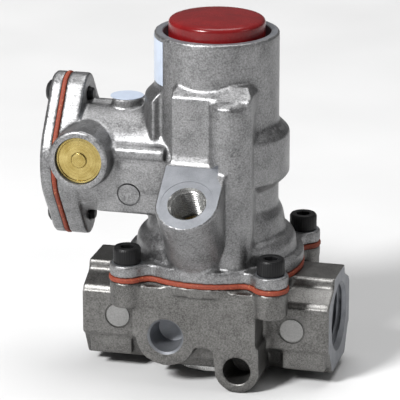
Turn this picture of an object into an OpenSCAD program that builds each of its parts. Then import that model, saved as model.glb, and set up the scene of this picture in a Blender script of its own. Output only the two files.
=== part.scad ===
// Safety gas valve with a red manual reset button, a side arm that holds the
// thermocouple hold magnet, and a gasketed valve body with two in-line pipe ports.
// Millimetres, +Z up. The origin is the centre of the inlet port's face.

/* [Valve body] */
// Distance between the two port faces
port_face_to_face = 78; // [76:0.5:84]
// Width and height of a port block across its flats
port_block = 31; // [30:0.5:33]
// Major diameter of the pipe thread in each port
port_thread_d = 20.6; // [20:0.1:21]
// Depth of the pipe thread in each port
port_thread_depth = 16; // [14:0.5:17]
// Height of the gasket face above the port axis
body_top = 14.5; // [14:0.1:15]
// Width of the central block, along the ports
block_w = 38.6; // [37:0.1:40]
// Half depth of the central block
block_half_depth = 25.5; // [25:0.1:26.5]
// Height of the lugs that the bonnet screws enter
lug_h = 8.2; // [7:0.1:9]

/* [Bonnet] */
// Outer diameter of the tower
tower_d = 38; // [37:0.1:39]
// Height of the tower's rim above the port axis
rim_z = 88.5; // [88:0.1:90]
// Outer diameter of the dome that the tower stands on
dome_d = 49.2; // [48:0.1:50]
// Spacing of the square pattern of bonnet screws
screw_square = 44.8; // [44:0.1:46]
// Radius of the round part of the bonnet flange
flange_r = 27; // [26.5:0.1:27.5]
// Radius of each screw lug
lug_r = 5.4; // [5:0.1:5.8]
// Thickness of the bonnet flange
flange_t = 3.8; // [3.4:0.1:4]
// Thickness of the gasket under the bonnet
gasket_t = 1.6; // [1.2:0.1:1.8]

/* [Side arm] */
// Height of the arm's axis above the port axis
arm_z = 46.3; // [46:0.1:47]
// Outer diameter of the arm
arm_d = 34.8; // [34:0.1:35.4]
// Distance from the tower axis to the arm's gasket face
arm_len = 46.2; // [46:0.1:47]
// Half spacing of the two cover screws
cover_screw_half = 19.3; // [19:0.1:20]
// Thickness of the side cover
cover_t = 3.8; // [3:0.1:4]

/* [Pilot outlet] */
// Major diameter of the tube thread in the inclined boss
pilot_thread_d = 11.1; // [11:0.05:11.2]
// Depth of the tube thread
pilot_thread_depth = 12; // [10:0.5:13]

/* [Button] */
// Diameter of the reset button
button_d = 29.4; // [29:0.1:30]
// Height of the button's top edge above the rim
button_rise = 3.8; // [3.5:0.1:4.5]
// Travel of the button, the interrupter and the main disc
travel = 5; // [4.5:0.1:5]

/* [Hidden] */
$fn = 96;
tower_x = -port_face_to_face / 2;
port_half = port_face_to_face / 2;
tower_r = tower_d / 2;
dome_r = dome_d / 2;
arm_r = arm_d / 2;
s = screw_square / 2;
screw_spots = [[-s, -s], [s, -s], [s, s], [-s, s]];
gasket_top = body_top + gasket_t;
flange_top = gasket_top + flange_t;

// Inside the valve body: inlet chamber, main seat, centre tube and outlet ring
chamber_r = 11;
web_z = 2;
web_t = 3;
ring_out_r = 13;
ring_in_r = 8.2;
lip_z = 16;
seat_hole_r = 6.2;
seat_r = 7.2;
plug_seat_z = -14.5;
plug_head_r = 13;

// Inside the bonnet
bonnet_hole_r = 15.2;
tower_hole_r = 13;
partition_z = 57;
partition_top = 63;
cap_hole_r = 16.35;
arm_hole_r = 12.4;
filter_r = 4;

// Sliding parts on the tower axis
rod_r = 3.2;
sleeve_r = 4.4;
sleeve_hole_r = 2.6;
stem_r = 2;
slide_gap = 0.05;
disc_r = 9;
disc_top_z = 1.35;
cross_pin_z = 49.5;
cross_pin_r = 0.8;
seal_z = lip_z + travel + 0.1;
button_top = rim_z + button_rise;
button_base = 79;
retainer_z = 82.75;
clip_z = 79.4;

// Lever, its pivot and the hold magnet in the arm
pivot_x = -37.4;
pivot_z = 50.9;
pivot_r = 1.5;
lever_turn = asin(travel / -pivot_x);
magnet_z = 41.5;
pole_x = -39;

// Inclined pilot boss
boss_r = 9.7;
boss_len = 14.5;
mouth = [-0.9, -33, 43.6];
tilt = atan2(0.6, 0.8);

// Tapped holes in the front of the body
tap_pos = [-9.7, -2.3];
tap_r = 5.2;
mount_pos = [12.6, -11.4];
mount_r = 4.4;

// ---- shared shapes -------------------------------------------------------

// Places a shape drawn about the tower axis and port height in the part's frame
module at_tower() {
    translate([tower_x, 0, 0]) children();
}

module tube(r_out, r_in, h) {
    difference() {
        cylinder(r = r_out, h = h);
        translate([0, 0, -1]) cylinder(r = r_in, h = h + 2);
    }
}

// A cylinder whose axis runs along +X from x0 to x1
module x_rod(r, x0, x1, y = 0, z = 0) {
    translate([x0, y, z]) rotate([0, 90, 0]) cylinder(r = r, h = x1 - x0);
}

// A cylinder whose axis runs along +Y from y0 to y1
module y_rod(r, y0, y1, x = 0, z = 0) {
    translate([x, y1, z]) rotate([90, 0, 0]) cylinder(r = r, h = y1 - y0);
}

module ring(r_mid, r_wire) {
    rotate_extrude() translate([r_mid, 0]) circle(r = r_wire, $fn = 24);
}

function polar(r, a) = [r * cos(a), r * sin(a)];

// Centre of the fillet of radius f between a circle at the origin and a lobe
function fillet_spot(r, lobe_r, f, p, side) =
    let (d = norm(p), a = r + f, b = lobe_r + f)
    polar(a, atan2(p[1], p[0]) + side * acos((a * a + d * d - b * b) / (2 * a * d)));

// A disc with round lobes, joined by concave fillets
module lobed_outline(r, lobe_r, f, lobes) {
    difference() {
        union() {
            circle(r = r);
            for (p = lobes) {
                translate(p) circle(r = lobe_r);
                polygon([[0, 0], fillet_spot(r, lobe_r, f, p, -1), p,
                         fillet_spot(r, lobe_r, f, p, 1)]);
            }
        }
        for (p = lobes, side = [-1, 1])
            translate(fillet_spot(r, lobe_r, f, p, side)) circle(r = f);
    }
}

// An oval: a disc and two end discs on the Y axis, joined by their tangents
module oval_outline(r, end_r, half) {
    a = acos((r - end_r) / half);
    union() {
        circle(r = r);
        for (side = [-1, 1]) {
            translate([0, side * half]) circle(r = end_r);
            polygon([polar(r, side * 90 + a), [0, side * half] + polar(end_r, side * 90 + a),
                     [0, side * half] + polar(end_r, side * 90 - a), polar(r, side * 90 - a)]);
        }
    }
}

module bonnet_outline(grow = 0) {
    lobed_outline(flange_r + grow, lug_r + grow, 4, screw_spots);
}

module arm_outline(grow = 0) {
    oval_outline(arm_r + 0.5 + grow, 6.5 + grow, cover_screw_half);
}

// Extrudes an outline along X; the outline's Y axis becomes Z
module along_x(x0, x1) {
    translate([x0, 0, 0]) rotate([90, 0, 90]) linear_extrude(height = x1 - x0) children();
}

// A sector of a tube about Z, from angle a0 to a1
module sector(r_out, r_in, h, a0, a1) {
    rotate([0, 0, a0]) rotate_extrude(angle = a1 - a0) translate([r_in, 0])
        square([r_out - r_in, h]);
}

// A closed coil spring: one wire swept round the Z axis, its end turns laid flat
function coil_z(t, turns, rise, wire) =
    let (n = t * turns, pitch = (rise - 2 * wire) / (turns - 2))
    n < 1 ? wire * n : n > turns - 1 ? rise - wire * (turns - n) : wire + (n - 1) * pitch;

module coil_spring(r, wire_r, z0, z1, turns) {
    sides = 8;
    steps = 20 * turns;
    rise = z1 - z0 - 2 * wire_r;
    points = [for (i = [0:steps], k = [0:sides - 1])
        let (t = i / steps, a = 360 * turns * t, w = 360 * k / sides,
             q = r + wire_r * cos(w))
        [q * cos(a), q * sin(a),
         z0 + wire_r + coil_z(t, turns, rise, 2 * wire_r) + wire_r * sin(w)]];
    sheath = [for (i = [0:steps - 1], k = [0:sides - 1])
        let (n = (k + 1) % sides)
        [i * sides + k, (i + 1) * sides + k, (i + 1) * sides + n, i * sides + n]];
    caps = [[for (k = [0:sides - 1]) k],
            [for (k = [sides - 1:-1:0]) steps * sides + k]];
    polyhedron(points = points, faces = concat(sheath, caps), convexity = 10);
}

// Turns a shape about the lever's pivot by the angle of a full button stroke
module at_rest() {
    translate([pivot_x, 0, pivot_z]) rotate([0, -lever_turn, 0])
        translate([-pivot_x, 0, -pivot_z]) children();
}

// Places a shape on the inclined boss: +Z out of its mouth, +Y up along its face
module at_mouth() {
    translate(mouth) rotate([tilt, 0, 0]) children();
}

// ---- valve body ----------------------------------------------------------

// Outline of a port block seen along the pipe axis
module port_outline() {
    h = port_block / 2;
    front = [[-7.5, body_top - 0.1], [-8.2, 11.4], [-h + 1.1, 8.4], [-h + 0.9, 7.4], [-h, 7.0],
             [-h, -6.8], [-h + 1.8, -8], [-9.5, -h]];
    back = [for (i = [len(front) - 1:-1:0]) [-front[i][0], front[i][1]]];
    polygon(concat(front, back));
}

module port_end(side) {
    x0 = side > 0 ? 12 : -port_half;
    along_x(x0, x0 + port_half - 12) port_outline();
    // Raised plate low on the front, and the flat of an ejector pin
    translate([side > 0 ? 24.4 : -36.6, -port_block / 2 + 0.6, -13.4])
        cube([side > 0 ? 13.4 : 13.2, 5, 6.2]);
    y_rod(4, -port_block / 2 - 0.25, -10, side * 27.5, -0.4);
}

module port_holes() {
    r = port_thread_d / 2;
    x_rod(r, port_half - port_thread_depth, port_half + 1);
    x_rod(r, -port_half - 1, port_thread_depth - port_half);
}

// Front block cut away round the left boss, and set back between the two bosses
module front_cuts() {
    translate([0, -16.1, 0]) rotate([90, 0, 0]) linear_extrude(height = 12) difference() {
        polygon([[-22, tap_pos[1] - 0.8], [-22, -12], [tap_pos[0], -12],
                 [tap_pos[0], tap_pos[1] - 0.8]]);
        translate(tap_pos) circle(r = 9.5);
    }
    translate([0, -21.8, 0]) rotate([90, 0, 0]) linear_extrude(height = 6) difference() {
        polygon([[tap_pos[0], -5.2], [4, -5.2], [5.4, -6.6], [5.4, -12], [tap_pos[0], -12]]);
        translate(tap_pos) circle(r = 9.5);
        translate(mount_pos) circle(r = 7.2);
    }
}

module valve_body() color("#8f8d89") at_tower() {
    difference() {
        union() {
            port_end(1);
            port_end(-1);
            translate([-20.2, -block_half_depth, -10])
                cube([block_w, 2 * block_half_depth, body_top + 9]);
            translate([-16, -16, -14.7]) cube([32, 32, 12]);
            translate([0, 0, body_top - 3]) linear_extrude(height = 3) bonnet_outline();
            for (p = screw_spots)
                translate([p[0], p[1], body_top - lug_h]) cylinder(r = lug_r - 0.2, h = lug_h - 1);
            // Bosses of the two front holes
            y_rod(9.3, -block_half_depth, -6, tap_pos[0], tap_pos[1]);
            y_rod(7, -block_half_depth, -9, mount_pos[0], mount_pos[1]);
            translate([mount_pos[0] - 6.8, -block_half_depth, mount_pos[1]])
                cube([13.6, 16, 8]);
            // Outer lip that the interrupter closes on
            cylinder(r = ring_out_r + 1.3, h = lip_z);
        }
        port_holes();
        front_cuts();
        // Inlet: a drilling from the inlet port to the chamber under the seat
        x_rod(6.6, 8, port_half - port_thread_depth + 1, 0, -5);
        translate([0, 0, -20]) cylinder(r = chamber_r, h = 20 + web_z);
        // Seat of the bottom plug's head and of its O-ring
        translate([0, 0, -22]) cylinder(r = plug_head_r + 0.3, h = 22 + plug_seat_z);
        translate([0, 0, plug_seat_z - 0.1]) cylinder(r = chamber_r + 1.45, h = 1.4);
        // Outlet: the ring round the centre tube, open to the outlet port
        translate([0, 0, web_z + web_t]) tube(ring_out_r, ring_in_r, 14);
        translate([-24, -6.5, web_z + web_t + 0.4]) cube([13, 13, 6]);
        // Bore that the seat ring is pressed into
        translate([0, 0, web_z - 1]) cylinder(r = seat_r, h = 30);
        for (p = screw_spots)
            translate([p[0], p[1], body_top - lug_h + 1]) cylinder(r = 2.5, h = lug_h + 1);
        // Pressure tapping with its small drilling into the inlet chamber
        y_rod(tap_r, -block_half_depth - 1, -15.5, tap_pos[0], tap_pos[1]);
        y_rod(1.6, -16, -3, tap_pos[0], tap_pos[1]);
        y_rod(mount_r, -block_half_depth - 1, -13, mount_pos[0], mount_pos[1]);
        for (h = [[tap_pos, tap_r, 0.7], [mount_pos, mount_r, 0.35]])
            translate([h[0][0], -block_half_depth - 0.01, h[0][1]]) rotate([-90, 0, 0])
                cylinder(r1 = h[1] + h[2], r2 = h[1], h = h[2]);
    }
}

module seat_ring() color("#b9a36a") at_tower()
    translate([0, 0, 1.4]) tube(seat_r, seat_hole_r, lip_z - 1.4);

module bottom_plug() color("#a9a59c") at_tower() difference() {
    union() {
        translate([0, 0, plug_seat_z]) cylinder(r = chamber_r, h = 4);
        translate([0, 0, plug_seat_z - 2.5]) cylinder(r = plug_head_r, h = 2.5);
        translate([0, 0, plug_seat_z + 2.5]) cylinder(r = 4, h = 4.5);
    }
    // Guide hole of the valve stem and the hexagonal key hole
    translate([0, 0, plug_seat_z - 0.5]) cylinder(r = stem_r + slide_gap, h = 10);
    translate([0, 0, plug_seat_z - 3]) cylinder(r = 4.6, h = 1.7, $fn = 6);
}

module bottom_plug_oring() color("#1c1c1e") at_tower()
    translate([0, 0, plug_seat_z + 0.65]) ring(chamber_r + 0.7, 0.6);

module body_gasket() color("#b8452a") at_tower() difference() {
    translate([0, 0, body_top]) linear_extrude(height = gasket_t) bonnet_outline(0.35);
    translate([0, 0, body_top - 1]) cylinder(r = bonnet_hole_r, h = 5);
    for (p = screw_spots)
        translate([p[0], p[1], body_top - 1]) cylinder(r = 2.7, h = 5);
}

// ---- bonnet --------------------------------------------------------------

module dome() {
    shoulder = 4.2;
    rotate_extrude() polygon(concat(
        [[0, flange_top - 0.5], [dome_r, flange_top - 0.5]],
        [for (a = [0:15:75]) [dome_r - shoulder, 26.6 - shoulder] + polar(shoulder, a)],
        [[tower_r + 1.4, 32], [tower_r + 0.4, 34], [tower_r - 1, 36], [0, 36]]));
}

// Round bands that thicken the tower wall, chamfered at their ends
module wall_band(r, z0, z1, a0, a1) {
    c = r - tower_r;
    rotate([0, 0, a0]) rotate_extrude(angle = a1 - a0)
        polygon([[tower_r - 2, z0], [tower_r, z0], [r, z0 + c], [r, z1 - c], [tower_r, z1],
                 [tower_r - 2, z1]]);
}

module front_ribs() {
    pad_y = -21;
    rib_top = 70.4;
    rib_r = 6.9;
    difference() {
        translate([0, -10, 0]) rotate([90, 0, 0]) linear_extrude(height = -pad_y - 10)
            polygon([[-9, 52.6], [2.5, 52.6], [2.5, 68], [15.6, 68], [15.6, 73.4], [13.8, 76],
                     [-7, 76], [-9, 74]]);
        // Sloping ledge across the top
        translate([-20, pad_y, 72.3]) rotate([44, 0, 0]) cube([50, 20, 10]);
    }
    // Bevel between the pad and the inclined boss
    translate([-9, 0, 0]) rotate([90, 0, 90]) linear_extrude(height = 11.5)
        polygon([[-21.9, 51.9], [pad_y - 0.05, 54.6], [-18, 54.6], [-18, 51.9]]);
    // Round rib down to the flange
    translate([8.6, -17.2, 18.6]) cylinder(r = rib_r, h = rib_top - 18.6);
    translate([8.6, -17.2, rib_top]) cylinder(r1 = rib_r, r2 = rib_r - 1.7, h = 1.6);
    translate([8, -16, 18.6]) cube([7.2, 10, rib_top - 18.6]);
}

module pilot_boss() {
    at_mouth() translate([0, 0, -30]) linear_extrude(height = 30) {
        circle(r = boss_r);
        translate([-boss_r, 0]) square([2 * boss_r, boss_len]);
    }
}

module arm() {
    x_rod(arm_r, -arm_len + 1, -8, 0, arm_z);
    translate([0, 0, arm_z]) along_x(-arm_len - 1, -arm_len + 5.8) arm_outline();
    // Boss of the lever plug
    y_rod(9.4, -23.4, 0, pivot_x, pivot_z);
    // Boss that the far end of the pivot pin enters
    y_rod(5, 8, 16.8, pivot_x, pivot_z);
    // Web below the plug boss with an ejector pin's flat, and the rib above it
    translate([-34, -16, 33]) cube([26, 14, 13.6]);
    y_rod(3.7, -16.2, -10, -23.5, 39.4);
    x_rod(2.3, -32, -12, -15.6, 52.6);
    translate([-32, -15.6, 50.3]) cube([20, 8, 4.6]);
    // Flat round boss on top of the arm
    translate([-28.4, 0, 55]) cylinder(r = 5.6, h = 10.8);
}

module bonnet() color("#a3a5a8") at_tower() difference() {
    union() {
        translate([0, 0, gasket_top]) linear_extrude(height = flange_t) bonnet_outline();
        dome();
        translate([0, 0, 30]) cylinder(r = tower_r, h = rim_z - 30);
        wall_band(22.3, 41.2, 60.8, -50, 63);
        wall_band(22, 50, 71.6, 150, 222);
        front_ribs();
        intersection() {
            pilot_boss();
            translate([-40, -60, flange_top - 0.2]) cube([80, 55, 60]);
        }
        arm();
    }
    // Room over the interrupter, up to the partition
    translate([0, 0, gasket_top - 1]) cylinder(r = bonnet_hole_r, h = 28 - gasket_top);
    translate([0, 0, 20]) cylinder(r = tower_hole_r, h = partition_z - 20);
    // Button bore, its mouth chamfer and the groove of the retaining ring
    translate([0, 0, partition_top]) cylinder(r = cap_hole_r, h = 40);
    translate([0, 0, rim_z - 0.3]) cylinder(r1 = cap_hole_r, r2 = cap_hole_r + 0.5, h = 0.5);
    translate([0, 0, retainer_z - 0.05]) cylinder(r = cap_hole_r + 0.8, h = 1.3);
    // Bush bore with the O-ring seat above it
    translate([0, 0, partition_z - 1]) cylinder(r = 5.5, h = 20);
    // Arm bore and the gasket face
    x_rod(arm_hole_r, -arm_len - 2, -8, 0, arm_z);
    translate([-arm_len - 5, -18.8, 18]) cube([5, 37.6, 56]);
    // Plug bore and the pin's far end
    y_rod(7.4, -30, -8, pivot_x, pivot_z);
    y_rod(pivot_r, 0, 15, pivot_x, pivot_z);
    // Cover screw holes and the spot faces behind them
    for (side = [-1, 1]) {
        x_rod(2.1, -arm_len - 2, -arm_len + 9, 0, arm_z + side * cover_screw_half);
        x_rod(4.1, -arm_len + 5.8, -arm_len + 14, 0, arm_z + side * (cover_screw_half + 0.6));
    }
    for (p = screw_spots)
        translate([p[0], p[1], gasket_top - 1]) cylinder(r = 2.7, h = 10);
    // Pilot outlet: tube thread, tapering bottom and the way into the bonnet
    at_mouth() {
        translate([0, 0, -pilot_thread_depth]) cylinder(r = pilot_thread_d / 2, h = 20);
        translate([0, 0, -pilot_thread_depth - 1.2]) cylinder(r = filter_r, h = 1.3);
        translate([0, 0, -pilot_thread_depth - 3]) cylinder(r1 = 2.4, r2 = 4.2, h = 3.01);
        translate([0, 0, -0.6]) cylinder(r1 = pilot_thread_d / 2, r2 = pilot_thread_d / 2 + 0.6, h = 0.61);
    }
    y_rod(2.2, mouth[1] + 6.5, -8, mouth[0], mouth[2] - 13.2);
}

module bonnet_screws() color("#202124") at_tower() for (p = screw_spots)
    translate([p[0], p[1], 0]) difference() {
        tip_z = body_top - lug_h + 1.5;
        head_r = 4.25;
        union() {
            translate([0, 0, tip_z]) cylinder(r = 2.5, h = flange_top - tip_z);
            translate([0, 0, flange_top]) cylinder(r = head_r, h = 4.6);
            translate([0, 0, flange_top + 4.6]) cylinder(r1 = head_r, r2 = head_r - 0.4, h = 0.4);
        }
        translate([0, 0, flange_top + 2.5]) cylinder(r = 2.31, h = 4, $fn = 6);
    }

// ---- button and the parts that slide with it -------------------------------

module reset_button() color("#a8141c") at_tower() difference() {
    r = button_d / 2;
    round_r = 2.6;
    crown = 110;
    button_h = button_top - button_base;
    union() {
        intersection() {
            translate([0, 0, button_base]) rotate_extrude() {
                square([r, button_h - round_r]);
                square([r - round_r, button_h + 2]);
                translate([r - round_r, button_h - round_r]) circle(r = round_r);
            }
            translate([0, 0, button_top + 0.9 - crown]) sphere(r = crown, $fn = 300);
        }
        translate([0, 0, button_base]) cylinder(r = cap_hole_r - slide_gap, h = 3.6);
    }
    // Spring pocket, stem socket and room for the clip
    translate([0, 0, button_base - 1]) tube(10.8, 5.4, 10.5);
    translate([0, 0, button_base - 1]) cylinder(r = rod_r, h = 8);
    translate([0, 0, button_base - 1]) cylinder(r = 5.5, h = 2.4);
}

module button_retaining_ring() color("#3b3c40") at_tower() difference() {
    translate([0, 0, retainer_z]) tube(cap_hole_r + 0.7, 15, 1.2);
    // Gap between its ends
    translate([-2, 10, retainer_z - 1]) cube([4, 10, 3]);
}

module button_stem() color("#c9b26a") at_tower() difference() {
    union() {
        translate([0, 0, 54]) cylinder(r = rod_r, h = 32);
        translate([0, 0, seal_z + 3.4]) cylinder(r = sleeve_r, h = 56.8 - seal_z - 3.4);
    }
    translate([0, 0, 10]) cylinder(r = sleeve_hole_r, h = 44.3);
    // Slots that the cross pin reaches out through
    translate([-cross_pin_r - 0.3, -10, 42]) cube([2 * cross_pin_r + 0.6, 20, 11]);
    // Groove for the clip under the button
    translate([0, 0, clip_z]) tube(rod_r + 1, rod_r - 0.6, 0.8);
}

module stem_clip() color("#4a4b50") at_tower() difference() {
    translate([0, 0, clip_z]) tube(5.2, rod_r - 0.6, 0.8);
    translate([0, -1.6, clip_z - 0.4]) cube([8, 3.2, 2]);
}

module button_spring() color("#b7bbc0") at_tower()
    coil_spring(8.6, 0.55, 64.55, 88.45, 7);

module stem_bush() color("#c9b26a") at_tower() difference() {
    union() {
        translate([0, 0, partition_z]) cylinder(r = 5.5, h = partition_top - partition_z + 0.5);
        translate([0, 0, partition_top]) cylinder(r = 10.4, h = 1.5);
    }
    translate([0, 0, partition_z - 1]) cylinder(r = rod_r + slide_gap, h = 20);
    translate([0, 0, 60]) tube(rod_r + 1.5, rod_r, 1.7);
}

module stem_seal() color("#1c1c1e") at_tower()
    translate([0, 0, 60.85]) ring(rod_r + 0.82, 0.68);

module interrupter_disc() color("#b0b3b6") at_tower() difference() {
    union() {
        translate([0, 0, seal_z + 1.6]) tube(14.2, 6.6, 1.8);
        translate([0, 0, seal_z + 1.6]) tube(6.4, sleeve_hole_r, 1.8);
        for (a = [30, 150, 270])
            rotate([0, 0, a]) translate([5, -1.5, seal_z + 1.6]) cube([4, 3, 1.8]);
    }
    translate([0, 0, seal_z]) cylinder(r = sleeve_hole_r, h = 5);
}

module interrupter_seal() color("#1c1c1e") at_tower()
    translate([0, 0, seal_z]) tube(14.2, 6.6, 1.6);

// ---- main valve ------------------------------------------------------------

module valve_stem() color("#c4c7ca") at_tower() difference() {
    translate([0, 0, -9.4]) cylinder(r = stem_r, h = 63.4);
    y_rod(cross_pin_r, -5, 5, 0, cross_pin_z);
}

module main_disc() color("#c4c7ca") at_tower() {
    translate([0, 0, disc_top_z - 3.6]) difference() {
        union() {
            cylinder(r = disc_r, h = 1.6);
            translate([0, 0, 1.6]) cylinder(r = 3.4, h = 2.6);
        }
        translate([0, 0, -1]) cylinder(r = stem_r, h = 6);
    }
}

module main_seal() color("#1c1c1e") at_tower()
    translate([0, 0, disc_top_z - 2]) tube(disc_r - 0.2, 3.4, 2);

module cross_pin() color("#c4c7ca") at_tower()
    y_rod(cross_pin_r, -7.6, 7.6, 0, cross_pin_z);

module closing_spring() color("#b7bbc0") at_tower()
    coil_spring(6.2, 0.35, plug_seat_z + 4, disc_top_z - 3.6, 4);

// ---- lever and hold magnet -------------------------------------------------

module armature_lever() color("#b9bcc0") at_tower() difference() {
    under = cross_pin_z + cross_pin_r + 0.2;
    union() {
        y_rod(3.1, -4.5, 4.5, pivot_x, pivot_z);
        translate([pivot_x, -3.5, under]) cube([-pivot_x - 9, 7, 1.8]);
        translate([-12, -7.4, under]) cube([4.5, 14.8, 1.8]);
        for (side = [-1, 1])
            translate([-12, side * 6.15 - 1.25, under]) cube([14.5, 2.5, 1.8]);
        // Leg that carries the armature
        at_rest() translate([pole_x + 2.1, -2.5, magnet_z - 3]) cube([1.5, 5, pivot_z - magnet_z + 2]);
    }
    y_rod(pivot_r + slide_gap, -10, 10, pivot_x, pivot_z);
}

module armature() color("#8b8e92") at_tower() at_rest()
    x_rod(5.2, pole_x + 0.15, pole_x + 2.1, 0, magnet_z);

module lever_pivot_pin() color("#c4c7ca") at_tower()
    y_rod(pivot_r, -19, 14.8, pivot_x, pivot_z);

module lever_plug() color("#c9a227") at_tower() difference() {
    union() {
        y_rod(7.2, -22.4, -13.2, pivot_x, pivot_z);
        y_rod(2.75, -22.9, -22, pivot_x, pivot_z);
    }
    // Drilled centre, thin turned step and the groove of the O-ring
    translate([pivot_x, -22.91, pivot_z]) rotate([-90, 0, 0]) cylinder(r1 = 1.7, r2 = 0.3, h = 1.2);
    y_rod(pivot_r, -19, -10, pivot_x, pivot_z);
    translate([pivot_x, -22.41, pivot_z]) rotate([-90, 0, 0]) tube(8, 6.5, 0.35);
    translate([pivot_x, -17.2, pivot_z]) rotate([-90, 0, 0]) tube(8, 6.0, 1.6);
}

module lever_plug_oring() color("#1c1c1e") at_tower()
    translate([pivot_x, -16.4, pivot_z]) rotate([90, 0, 0]) ring(6.68, 0.68);

module magnet_core() color("#8b8e92") at_tower() translate([0, 0, magnet_z]) {
    translate([pole_x - 5.4, -2.2, -5]) cube([1.4, 4.4, 10]);
    for (side = [-1, 1])
        x_rod(1.5, pole_x - 4.1, pole_x, 0, side * 3.3);
}

module magnet_coils() color("#b4622c") at_tower() for (side = [-1, 1])
    translate([pole_x - 3.9, 0, magnet_z + side * 3.3]) rotate([0, 90, 0])
        tube(2.9, 1.55, 3.3);

module magnet_housing() color("#b9a36a") at_tower()
    translate([pole_x - 6.4, 0, magnet_z]) rotate([0, 90, 0]) tube(6.9, 6.4, 6);

module thermocouple_socket() color("#c9a227") at_tower() translate([0, 0, magnet_z])
    rotate([0, 90, 0]) difference() {
        x0 = -arm_len - 1.5 - cover_t;
        union() {
            translate([0, 0, x0]) cylinder(r = 6, h = pole_x - 6.4 - x0 - 0.8);
            translate([0, 0, pole_x - 7.2]) cylinder(r = 6.9, h = 0.8);
            translate([0, 0, pole_x - 6.5]) cylinder(r = 6.38, h = 1.1);
        }
        translate([0, 0, x0 - 1]) cylinder(r = 4.37, h = 5.6);
        translate([0, 0, x0]) cylinder(r = 2.4, h = 20);
    }

module contact_insulator() color("#6b3d22") at_tower()
    translate([pole_x - 7, 0, magnet_z]) rotate([0, 90, 0]) tube(2.4, 1, 1.5);

module contact_pin() color("#c9a227") at_tower() {
    x_rod(1, pole_x - 7.8, pole_x - 5.6, 0, magnet_z);
    x_rod(1.8, pole_x - 7.85, pole_x - 7, 0, magnet_z);
}

module side_cover() color("#a3a5a8") at_tower() difference() {
    x0 = -arm_len - 1.5 - cover_t;
    union() {
        translate([0, 0, arm_z]) along_x(x0 + 0.8, x0 + cover_t) arm_outline();
        translate([0, 0, arm_z]) along_x(x0, x0 + cover_t) arm_outline(-0.7);
    }
    x_rod(6, x0 - 1, x0 + 10, 0, magnet_z);
    for (side = [-1, 1])
        x_rod(2.2, x0 - 1, x0 + 10, 0, arm_z + side * cover_screw_half);
}

module side_cover_gasket() color("#b8452a") at_tower() difference() {
    translate([0, 0, arm_z]) union() {
        along_x(-arm_len - 1.5, -arm_len) arm_outline(0.1);
        // Edge that bulges where it is squeezed
        along_x(-arm_len - 1.2, -arm_len - 0.3) arm_outline(0.3);
    }
    x_rod(arm_hole_r, -60, -40, 0, arm_z);
    for (side = [-1, 1])
        x_rod(2.2, -60, -40, 0, arm_z + side * cover_screw_half);
}

module side_cover_screws() color("#202124") at_tower() for (side = [-1, 1])
    translate([-arm_len - 1.5 - cover_t, 0, arm_z + side * cover_screw_half])
        rotate([0, 90, 0]) difference() {
            union() {
                translate([0, 0, -1.4]) cylinder(r = 3.7, h = 1.4);
                translate([0, 0, -2.6]) cylinder(r1 = 2.5, r2 = 3.7, h = 1.21);
                cylinder(r = 2, h = cover_t + 1.5 + 5.8 + 1.6);
            }
            translate([0, 0, -3]) cylinder(r = 1.5, h = 2, $fn = 6);
        }

module pilot_filter() color("#b9a36a") at_tower() at_mouth()
    translate([0, 0, -pilot_thread_depth - 1.2]) tube(filter_r, 2.6, 1.1);

module tower_label() color("#dfe6ee") at_tower()
    translate([0, 0, 73.5]) sector(tower_r + 0.12, tower_r, 13.5, 150, 225.5);

module arm_label() color("#dfe6ee") at_tower()
    translate([-28.4, 0, 65.8]) cylinder(r = 5.1, h = 0.15);

valve_body();
seat_ring();
bottom_plug();
bottom_plug_oring();
body_gasket();
bonnet();
bonnet_screws();
reset_button();
button_retaining_ring();
button_stem();
stem_clip();
button_spring();
stem_bush();
stem_seal();
interrupter_disc();
interrupter_seal();
valve_stem();
main_disc();
main_seal();
cross_pin();
closing_spring();
armature_lever();
armature();
lever_pivot_pin();
lever_plug();
lever_plug_oring();
magnet_core();
magnet_coils();
magnet_housing();
thermocouple_socket();
contact_insulator();
contact_pin();
side_cover();
side_cover_gasket();
side_cover_screws();
pilot_filter();
tower_label();
arm_label();
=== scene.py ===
import math
import random

import bmesh
import bpy
import numpy as np
from mathutils import Matrix, Vector


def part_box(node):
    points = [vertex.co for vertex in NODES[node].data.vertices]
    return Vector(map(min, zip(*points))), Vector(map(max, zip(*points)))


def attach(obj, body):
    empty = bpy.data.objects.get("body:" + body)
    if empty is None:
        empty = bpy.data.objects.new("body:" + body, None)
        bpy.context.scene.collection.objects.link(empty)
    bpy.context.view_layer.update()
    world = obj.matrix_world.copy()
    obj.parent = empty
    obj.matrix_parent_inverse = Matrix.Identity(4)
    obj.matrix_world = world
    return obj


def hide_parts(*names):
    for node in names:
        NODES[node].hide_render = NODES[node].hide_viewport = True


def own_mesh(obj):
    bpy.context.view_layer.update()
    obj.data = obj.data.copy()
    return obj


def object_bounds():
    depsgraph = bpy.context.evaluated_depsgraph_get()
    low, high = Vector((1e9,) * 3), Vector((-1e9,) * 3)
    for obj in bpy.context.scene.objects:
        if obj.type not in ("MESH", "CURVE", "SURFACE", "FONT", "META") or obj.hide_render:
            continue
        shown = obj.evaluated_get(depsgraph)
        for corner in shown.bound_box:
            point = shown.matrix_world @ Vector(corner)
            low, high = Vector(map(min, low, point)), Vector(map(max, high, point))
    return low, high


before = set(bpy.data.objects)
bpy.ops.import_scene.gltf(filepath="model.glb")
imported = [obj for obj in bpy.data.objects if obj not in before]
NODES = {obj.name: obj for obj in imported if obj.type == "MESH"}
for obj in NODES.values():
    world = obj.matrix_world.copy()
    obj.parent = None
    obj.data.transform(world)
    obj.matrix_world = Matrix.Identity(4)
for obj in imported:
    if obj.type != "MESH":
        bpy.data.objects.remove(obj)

CAD_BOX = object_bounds()
MM = 0.001
TAU = 2 * math.pi
random.seed(11)

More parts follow.
